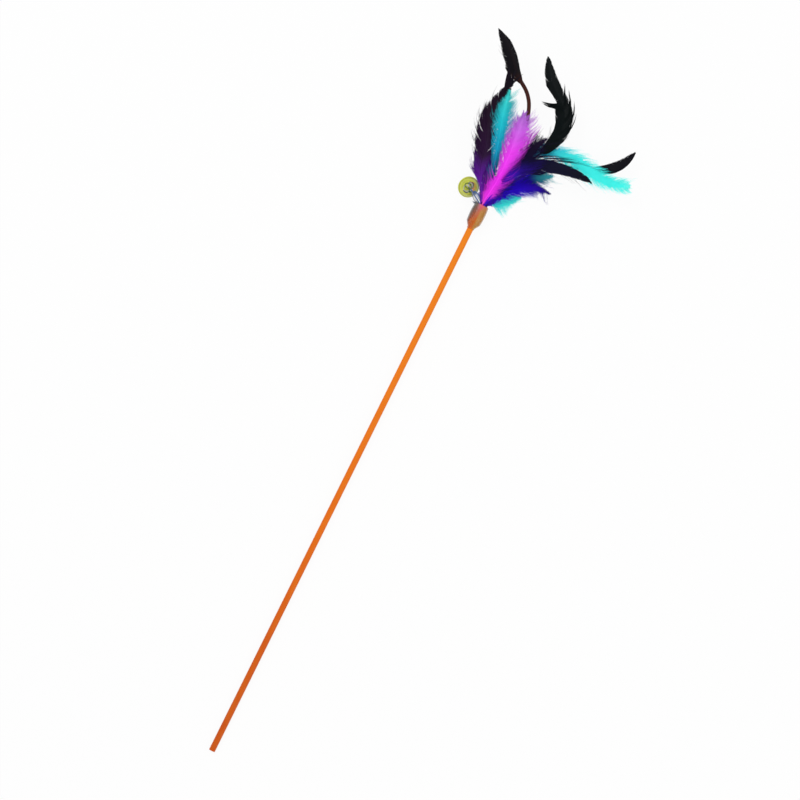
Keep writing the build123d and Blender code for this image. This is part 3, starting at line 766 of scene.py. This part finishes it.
FEATHERS = {
    "magenta": dict(
        PLUME, length=84, width=16, slot=(0, 0.866), bare=0.14, peak=1.7, down=7.5,
        headings=(0, -10, -1, 2, 8, 10), rises=(0, 32, 33, 31, 27, 20),
        left_shape=((0, 0.72, 0.86, 0.95, 1), (1, 1, 1.3, 2, 2.4)),
        right_shape=((0, 0.5, 0.62, 0.86, 0.95, 1), (1, 1.1, 1.5, 2, 2.8, 3)),
        strays=loose_barbs(
            (LEFT, 0.1, 0.9, 30, 1.2), (RIGHT, 0.1, 0.6, 30, 1.25), (RIGHT, 0.6, 0.97, 34, 0.95))),
    "dark_left": dict(
        BLADE, length=102, width=15.5, slot=(0.5, 0.866), bare=0.15, peak=0.95, down=6.0,
        headings=(0, 42, 10, 23, -7, -11), rises=(0, 17, 18, 17, 15, 11),
        ragged=0.12, gather=0.2, lock=8, lock_swing=0.12, hairs=3, hair=0.9, fluff=0.03,
        spurs=((LEFT, 0.58, 0.63, 14, 8.2, 1.9), (LEFT, 0.88, 0.985, 34, 8.5, 1.35),
               (LEFT, 0.92, 0.99, 22, 3.4, 3.4), (RIGHT, 0.92, 0.99, 24, 2.6, 4.4),
               (LEFT, 0.2, 0.23, 7, 6.5, 1.1), (LEFT, 0.28, 0.31, 8, 7.6, 1.2),
               (LEFT, 0.37, 0.4, 8, 9, 1.3), (LEFT, 0.45, 0.48, 8, 9.6, 1.4)),
        strays=((LEFT, 0.12, 0.6, 60, 1.3, 1.2, 0.28), (LEFT, 0.5, 0.75, 14, 1.2, 1.9, 0.28),
                (RIGHT, 0.3, 0.8, 14, 1.1, 1.6, 0.2))),
    "plum_back": dict(
        PLUME, length=73, width=14, slot=(-0.5, 0.866), bare=0.25, down=7.0,
        headings=(0, -15, -14, -15, -21, -31), rises=(0, 25, 25, 23, 20, 14),
        left_shape=((0, 0.4, 0.6, 0.85, 1), (1, 1.1, 1.5, 1.5, 1.2)),
        right_shape=((0, 0.45, 0.6, 0.75, 1), (2.2, 2.1, 1.5, 1.1, 1)),
        strays=loose_barbs((LEFT, 0.3, 0.9, 46, 1.05), (RIGHT, 0.3, 0.97, 20, 1.1))),
    "violet": dict(
        PLUME, length=44, width=9, slot=(-0.25, 0.433), bare=0.25, down=5.5,
        headings=(0, 30, 20, 16, 16, 13), rises=(0, 12, 13, 13, 12, 10),
        strays=loose_barbs((LEFT, 0.1, 0.9, 24, 1.3))),
    "dark_right": dict(
        BLADE, length=99.5, width=12, slot=(-0.75, 0.433), bare=0.22, down=7.5,
        headings=(0, -7, -29, -66, -82, -99), rises=(0, 19, 18, 15, 10, 4),
        gather=0.12, lock_swing=0.08, lean=2.9, tip_lean=0.4,
        left_shape=((0, 0.3, 0.42, 0.6, 0.74, 0.86, 1), (2.2, 1.8, 0.7, 0.66, 0.75, 0.9, 1)),
        right_shape=((0, 0.3, 0.46, 0.6, 0.74, 0.86, 1), (2.4, 2, 1, 0.84, 0.85, 0.95, 1)),
        spurs=((LEFT, 0.36, 0.372, 6, 8.6, 3.6), (LEFT, 0.4, 0.412, 6, 9.2, 3.6),
               (LEFT, 0.44, 0.45, 6, 8, 4.2), (LEFT, 0.48, 0.49, 6, 9.6, 3.4),
               (LEFT, 0.53, 0.54, 6, 8.4, 3.8), (LEFT, 0.58, 0.588, 5, 8.8, 3.4)),
        strays=((LEFT, 0.35, 0.7, 14, 1.3, 3, 0.3), (RIGHT, 0.5, 0.9, 6, 0.9, 3, 0.22))),
    "cyan_upper": dict(
        PLUME, length=93.5, width=15.5, slot=(0, 0), bare=0.2, peak=1.8,
        headings=(0, 9, 15, 16, 19, 5), rises=(0, 25, 26, 24, 20, 14),
        left_shape=((0, 0.3, 0.5, 1), (1, 1, 0.78, 0.85)),
        right_shape=((0, 0.2, 0.5, 0.7, 0.9, 1), (1.7, 1.7, 1.3, 1.1, 1.3, 1.6)),
        strays=loose_barbs((RIGHT, 0.55, 0.97, 44, 1.35), (LEFT, 0.5, 0.95, 16, 1.1))),
    "black_right": dict(
        BLADE, length=131, width=8.5, slot=(-1, 0), bare=0.66, peak=1, stem=1.8, start=0.6,
        headings=(0, -26, -38, -76, -70, 2), rises=(0, 3, 3, 3, 3, 3), gather=0.03, lock_swing=0.02,
        left_shape=((0, 1), (1.5, 1.5)), right_shape=((0, 1), (0.45, 0.45)),
        strays=((LEFT, 0.55, 0.68, 22, 2.2, 1.4, 0.2), (RIGHT, 0.55, 0.68, 14, 2.2, 1.4, 0.2))),
    "black_curl": dict(
        BLADE, length=141.5, width=13.8, slot=(-0.5, 0), bare=0.38, start=0.42, peak=0.9, edge=0.6,
        headings=(0, -17, -32, -12, 56, 28), rises=(0, 11, 10, 9, 7, 5),
        left_shape=((0, 0.4, 0.5, 0.6, 0.68, 0.72, 0.76, 0.8, 1),
                    (0.5, 0.5, 0.75, 1, 0.9, 0.5, 0.6, 1, 1)),
        right_shape=((0, 0.5, 0.56, 0.76, 0.84, 1), (1, 1, 0.95, 0.92, 1, 1)),
        spurs=((LEFT, 0.68, 0.74, 28, 13, 0.8), (RIGHT, 0.5, 0.53, 12, 9, 2.4),
               (RIGHT, 0.55, 0.58, 14, 9.2, 2.4), (RIGHT, 0.62, 0.65, 14, 9.2, 2.2),
               (RIGHT, 0.695, 0.72, 12, 8.2, 2)),
        strays=((RIGHT, 0.45, 0.6, 8, 1.1, 2.6, 0.3), (LEFT, 0.4, 0.5, 8, 1.2, 1.6, 0.25))),
    "black_tall": dict(
        BLADE, length=149, width=9.6, slot=(0.25, -0.433), bare=0.7, peak=0.9, edge=0.45, stem=3.0, left=0.72,
        bends=(0, 0.2, 0.42, 0.56, 0.68, 0.78, 1), headings=(0, -11, 4, 23, 60, 40, 62),
        rises=(0, 14, 13, 11, 9, 8, 5), start=0.69, lean=0.8, gather=0.03, lock_swing=0.02, ragged=0.03,
        left_shape=((0, 0.7, 0.75, 0.78, 0.82, 0.88, 0.96, 1), (1, 1.3, 1.25, 1, 0.95, 0.9, 0.7, 0.3)),
        right_shape=((0, 0.74, 0.82, 0.9, 0.95, 1), (1, 1.15, 1.4, 1.3, 0.8, 0.2)),
        strays=((LEFT, 0.7, 0.85, 6, 1.05, 2, 0.3),)),
    "cyan_right": dict(
        PLUME, length=135.5, width=14.5, slot=(-0.25, -0.433), bare=0.22, peak=1.4, edge=0.55, spacing=0.26,
        headings=(0, -22, -19, -85, -103, -66), rises=(0, 9, 9, 7, 4, 2),
        left_shape=((0, 0.84, 0.95, 1), (1, 1, 1.9, 2.2)),
        right_shape=((0, 0.84, 0.95, 1), (1, 1, 1.9, 2.2)),
        strays=loose_barbs((LEFT, 0.4, 0.97, 60, 1.3), (RIGHT, 0.6, 0.97, 40, 1.3))),
    "indigo": dict(
        PLUME, length=55, width=13, slot=(-0.75, -0.433), bare=0.2, down=7.0,
        headings=(0, -23, -47, -54, -67, -102), rises=(0, 3, 3, 2, 1, 0),
        left_shape=((0, 0.12, 0.4, 0.6, 0.75, 1), (1.8, 2.3, 2.1, 1.1, 0.6, 0.6)),
        strays=loose_barbs((RIGHT, 0.2, 0.97, 36, 0.98), (LEFT, 0.4, 0.9, 16, 0.8))),
    "teal_under": dict(
        PLUME, length=60, width=11, slot=(0, -0.866), bare=0.3,
        headings=(0, -34, -35, -41, -53, -61), rises=(0, 0, 0, -1, -2, -3),
        left_shape=((0, 0.5, 0.8, 1), (1, 1, 1.3, 1.5)),
        right_shape=((0, 0.5, 0.7, 1), (1, 1, 1.4, 1.6)),
        strays=loose_barbs((RIGHT, 0.5, 0.97, 24, 1.3), (LEFT, 0.5, 0.97, 14, 1.2))),
    "cyan_low": dict(
        PLUME, length=30, width=14, slot=(-0.5, -0.866), bare=0.2, peak=0.8, left=0.3,
        headings=(0, -43, -52, -58, -56, -54), rises=(0, -4, -5, -5, -5, -4), lean=0.35, down=2.5, web=0.7,
        right_shape=((0, 0.12, 0.26, 0.5, 0.8, 1), (0.9, 1.2, 1.25, 0.9, 0.7, 0.6)),
        strays=loose_barbs((RIGHT, 0.1, 0.9, 24, 1.3))),
}

# dyes: slot, colours from the sleeve to the tip, barb tips' colour and its share, streaks, shaft's colour
DYES = {
    "magenta": (
        "magenta_feather",
        [(0, (250, 90, 196)), (0.06, (255, 64, 250)), (0.3, (255, 56, 255)), (0.6, (252, 78, 255)),
         (0.82, (222, 120, 244)), (1, (196, 128, 226))],
        (112, 34, 164), 0.6, 0.15, (255, 120, 255)),
    "dark_left": (
        "dark_feather",
        [(0, (140, 40, 206)), (0.17, (112, 30, 176)), (0.36, (46, 18, 58)), (0.7, (38, 18, 38)),
         (1, (18, 15, 22))],
        (26, 18, 34), 0.5, 0.4, (44, 24, 52)),
    "plum_back": (
        "plum_feather",
        [(0, (70, 14, 214)), (0.45, (62, 12, 196)), (0.56, (32, 8, 116)), (0.66, (16, 6, 54)),
         (0.8, (22, 10, 44)), (1, (38, 18, 52))],
        (18, 7, 58), 0.9, 0.35, (40, 16, 84)),
    "violet": (
        "violet_feather",
        [(0, (150, 36, 214)), (0.5, (118, 26, 182)), (1, (84, 26, 160))],
        (92, 30, 186), 0.4, 0.25, (160, 60, 214)),
    "dark_right": (
        "dark_feather",
        [(0, (44, 14, 140)), (0.3, (24, 14, 66)), (0.65, (18, 16, 44)), (1, (12, 12, 20))],
        (14, 18, 44), 0.5, 0.4, (34, 26, 60)),
    "cyan_upper": (
        "cyan_feather",
        [(0, (70, 24, 140)), (0.2, (60, 30, 140)), (0.34, (24, 120, 170)), (0.5, (30, 190, 224)),
         (0.72, (40, 222, 232)), (1, (80, 236, 228))],
        (18, 138, 152), 0.5, 0.2, (70, 230, 236)),
    "black_right": (
        "black_feather",
        [(0, (60, 18, 160)), (0.26, (26, 12, 84)), (0.45, (16, 14, 24)), (1, (14, 14, 22))],
        (14, 14, 20), 0.5, 0.4, (22, 19, 25)),
    "black_curl": (
        "black_feather",
        [(0, (44, 16, 110)), (0.3, (14, 20, 36)), (0.4, (10, 20, 22)), (0.7, (9, 16, 16)),
         (1, (18, 22, 24))],
        (8, 12, 14), 0.5, 0.4, (18, 26, 26)),
    "black_tall": (
        "black_feather",
        [(0, (92, 50, 40)), (0.45, (84, 44, 36)), (0.66, (64, 32, 26)), (0.75, (18, 15, 20)),
         (1, (18, 16, 22))],
        (14, 12, 16), 0.4, 0.4, (88, 48, 38)),
    "cyan_right": (
        "cyan_feather",
        [(0, (40, 14, 120)), (0.28, (24, 30, 100)), (0.38, (30, 110, 150)), (0.46, (62, 216, 246)),
         (0.6, (74, 255, 252)), (1, (78, 255, 246))],
        (92, 255, 246), 0.3, 0.12, (90, 255, 246)),
    "indigo": (
        "indigo_feather",
        [(0, (100, 26, 250)), (0.3, (56, 4, 250)), (0.55, (50, 6, 226)), (0.8, (50, 10, 186)),
         (1, (42, 20, 120))],
        (36, 6, 132), 0.5, 0.2, (86, 40, 210)),
    "teal_under": (
        "teal_feather",
        [(0, (44, 14, 150)), (0.5, (30, 10, 120)), (0.66, (26, 40, 110)), (0.8, (52, 156, 178)),
         (1, (82, 210, 220))],
        (86, 216, 222), 0.15, 0.25, (60, 130, 160)),
    "cyan_low": (
        "cyan_feather",
        [(0, (60, 250, 250)), (0.6, (76, 255, 250)), (1, (100, 255, 248))],
        (110, 248, 242), 0.4, 0.14, (86, 248, 240)),
}
FIRST_SEED, THREAD_SEED = 100, 200
SHAFT_SHARE = 0.1
GLOSSY_BARBS = dict(rough=(0.36, 0.55), sheen=0.0, gleam=0.08)
BARE_SHAFT = dict(tip_share=0.0, streak=0.15, rough=(0.4, 0.55), sheen=0.0, gleam=0.06)

for seed, (key, plan) in enumerate(FEATHERS.items(), FIRST_SEED):
    name = "feather_" + key
    slot, along, tip, tip_share, streak, shaft = DYES[key]
    shaft_along = []
    for share, colour in along:
        shaft_along.append((share, np.array(shaft) * SHAFT_SHARE + np.array(colour) * (1 - SHAFT_SHARE)))
    gloss = GLOSSY_BARBS if plan["gloss"] else {}
    barbs = plumage(name + "_barbs", along, tip, tip_share, streak, **gloss)
    rachis = plumage(name + "_shaft", shaft_along, shaft, **BARE_SHAFT)
    grow(name, seed, plan, [barbs, rachis])

# threads: the knot's loops on the bell's crown, and loose threads along the tie to the sleeve, in mm
THREAD, WISP = 0.6, 0.26
KNOT_SPREAD = 1.15
COIL_TURNS, COIL_RADIUS, COIL_START, COIL_PITCH = 3, 0.76, 0.85, 0.5
# a thread's number is its place among its piece's materials: beside the tie, pale blue has green's place
NAVY, WHITE, GREEN, TAN = range(4)
PALE_BLUE = GREEN
# each loop or loose end on the crown: thread, then (aside, toward the sleeve, height over the crown)
KNOT = (
    (NAVY, (0.8, -0.3, 2.3), (3, -1.6, 1.2), (4.2, -3.6, 0.5), (2.2, -5, 0.5), (0.2, -3.2, 1.2),
     (-0.6, -0.6, 2.3)),
    (WHITE, (-0.8, -0.3, 2.3), (-3.2, -1, 1.3), (-4.6, -3, 0.5), (-2.8, -4.9, 0.5), (-0.4, -3.6, 1.3),
     (0.7, -0.8, 2.1)),
    (GREEN, (0.2, -0.7, 2.6), (1.4, -2.6, 1.8), (0.4, -5.6, 0.9), (-1.8, -5.4, 0.9), (-1.6, -2.6, 1.8),
     (-0.2, -0.7, 2.5)),
    (TAN, (0.9, 0, 2.3), (3.4, 0, 1.4), (4.8, -1.6, 0.6), (4.6, -3.6, 0.5), (3, -4.6, 0.5)),
    (NAVY, (-0.9, 0, 2.3), (-3.4, 0.2, 1.2), (-5, -1, 0.5), (-5.4, -2.6, 0.5)),
    (WHITE, (1, -0.6, 1.6), (2.8, -2.8, 0.9), (1.6, -4.2, 1), (-0.6, -2.4, 1.8)),
)
# each long thread beside the tie: thread, how far aside, and how far it bows away from the bell
LONG_THREADS = (
    (NAVY, 1, 0.5), (WHITE, -0.95, 0.35), (NAVY, 0.1, 0.9), (PALE_BLUE, 1.7, 0.7), (NAVY, 2.4, 0.3),
    (PALE_BLUE, 3, -0.2), (NAVY, -1.6, 0.2),
)
WISPS = 6


def flow(points, count):
    """A smooth line of count points through the given ones."""
    points = np.array(points, float)
    ends = np.vstack([2 * points[0] - points[1], points, 2 * points[-1] - points[-2]])
    at = np.linspace(0, len(points) - 1 - 1e-9, count)
    low, t = at.astype(int), (at % 1)[:, None]
    a, b, c, d = (ends[low + k] for k in range(4))
    square, cube = 2 * a - 5 * b + 4 * c - d, 3 * b - a - 3 * c + d
    return 0.5 * (2 * b + (c - a) * t + square * t ** 2 + cube * t ** 3)


def add_thread(strands, points, wide, kind, count=48):
    """One thread through points; it narrows only at its two cut ends."""
    line = flow(points, count)
    widths = wide * np.interp(np.arange(count), (0, 1, count - 2, count - 1), (0.6, 1, 1, 0.6))
    lift = np.cross(np.gradient(line, axis=0), np.array([0.31, 0.42, 0.85]))
    strands.tube(line, lift, widths, widths, np.linspace(0, 1, count), sides=7, kind=kind)


navy = thread("thread_navy", (14, 22, 60), (44, 66, 128))
white = thread("thread_white", (136, 138, 140), (226, 226, 216))
green = thread("thread_green", (24, 62, 22), (84, 120, 40))
tan = thread("thread_tan", (150, 88, 44), (226, 164, 104))
pale_blue = thread("thread_pale_blue", (40, 84, 160), (112, 164, 224))

knot = Strands()
for kind, *places in KNOT:
    points = []
    for sideways, inward, high in places:
        ray = crown + (aside * sideways + toward * inward) * KNOT_SPREAD / BELL_RADIUS
        points.append(bell_centre + ray / np.linalg.norm(ray) * (BELL_RADIUS + high))
    add_thread(knot, points, THREAD, kind)
for side, kind in ((1, TAN), (-1, GREEN)):
    turn = np.linspace(0, COIL_TURNS * 2 * np.pi, 40)
    ring = np.cos(turn)[:, None] * crown + np.sin(turn)[:, None] * toward
    shift = side * (COIL_START + COIL_PITCH * turn / (2 * np.pi))
    add_thread(knot, bar + ring * COIL_RADIUS + aside * shift[:, None], THREAD, kind, 120)
piece = knot.piece("bell_knot", [navy, white, green, tan])
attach(piece, "bell")

rng = np.random.default_rng(THREAD_SEED)
loose = Strands()
start = bar + toward * 1.6
for kind, offset, bow in LONG_THREADS:
    first, last = start + aside * offset * 0.6, TIE_EXIT + aside * min(offset, 1.4)
    middle = (first + last) / 2 + crown * bow + aside * offset * 0.5
    inner = last + TILT @ np.array([-2.6, 0, 0])
    add_thread(loose, [first, middle, last, inner], THREAD * 0.75, kind)
for _ in range(WISPS):
    turn = np.radians(rng.uniform(70, 140))
    out = TILT @ np.array([np.cos(turn), np.sin(turn), rng.uniform(-0.3, 0.2)])
    root = TIE_EXIT + TILT @ np.array([-0.4, rng.uniform(0.2, 1.2), rng.uniform(-1.2, 0.4)])
    curl = aside * rng.uniform(-0.8, 0.8)
    long = rng.uniform(3.2, 5.2)
    bend, end = root + out * long * 0.5 + curl * 0.3, root + out * long + curl
    add_thread(loose, [root - out, bend, end], WISP, NAVY, 20)
piece = loose.piece("tie_threads", [navy, white, pale_blue])
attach(piece, "wand")

# stage: pale floor, soft light
FLOOR_HALF, FLOOR_GAP = 6.0, 0.0002
BACKDROP, WORLD_LIGHT = 0.93, 0.75
LAMP_AIM = Vector((0.45, 0, 0))
WHITE_LIGHT = (1, 1, 1, 1)


def pale_floor():
    """A matt pale floor that the camera and reflections see as an even backdrop."""
    m = Nodes("pale_floor")
    m.put(Base_Color=(0.86, 0.86, 0.86, 1), Roughness=0.9, Specular_IOR_Level=0.1)
    glow = m.add("Emission", dict(Color=WHITE_LIGHT))
    path = m.add("LightPath").outputs
    seen = m.math("MAXIMUM", path["Is Camera Ray"], path["Is Glossy Ray"])
    seen = m.math("MAXIMUM", seen, path["Is Transmission Ray"])
    share = m.math("MULTIPLY", seen, BACKDROP)
    blend = m.add("MixShader", {0: share, 1: m.shader.outputs[0], 2: glow.outputs[0]})
    m.feed(blend.outputs[0], m.tree.nodes["Material Output"].inputs["Surface"])
    return m.material


def lamp(name, place, size, power):
    """A round soft lamp that is turned to the toy."""
    light = bpy.data.lights.new(name, "AREA")
    light.shape, light.size, light.energy = "DISK", size, power
    stand = bpy.data.objects.new(name, light)
    scene.collection.objects.link(stand)
    facing = (LAMP_AIM - Vector(place)).to_track_quat("-Z", "Y").to_matrix().to_4x4()
    stand.matrix_world = Matrix.Translation(place) @ facing


floor_mesh = bpy.data.meshes.new("floor")
square = np.array([(-1, -1), (1, -1), (1, 1), (-1, 1)]) * FLOOR_HALF
floor_mesh.from_pydata([(x, y, cad_low.z - FLOOR_GAP) for x, y in square], [], [(0, 1, 2, 3)])
floor_mesh.materials.append(pale_floor())
floor = bpy.data.objects.new("floor", floor_mesh)
scene.collection.objects.link(floor)

world = bpy.data.worlds.new("studio")
scene.world = world
world.use_nodes = True
background = world.node_tree.nodes["Background"]
background.inputs["Color"].default_value = WHITE_LIGHT
background.inputs["Strength"].default_value = WORLD_LIGHT
lamp("key", (0.9, 0.9, 1.6), size=0.9, power=9)
lamp("fill", (0.2, -1.2, 1.2), size=1.2, power=4)
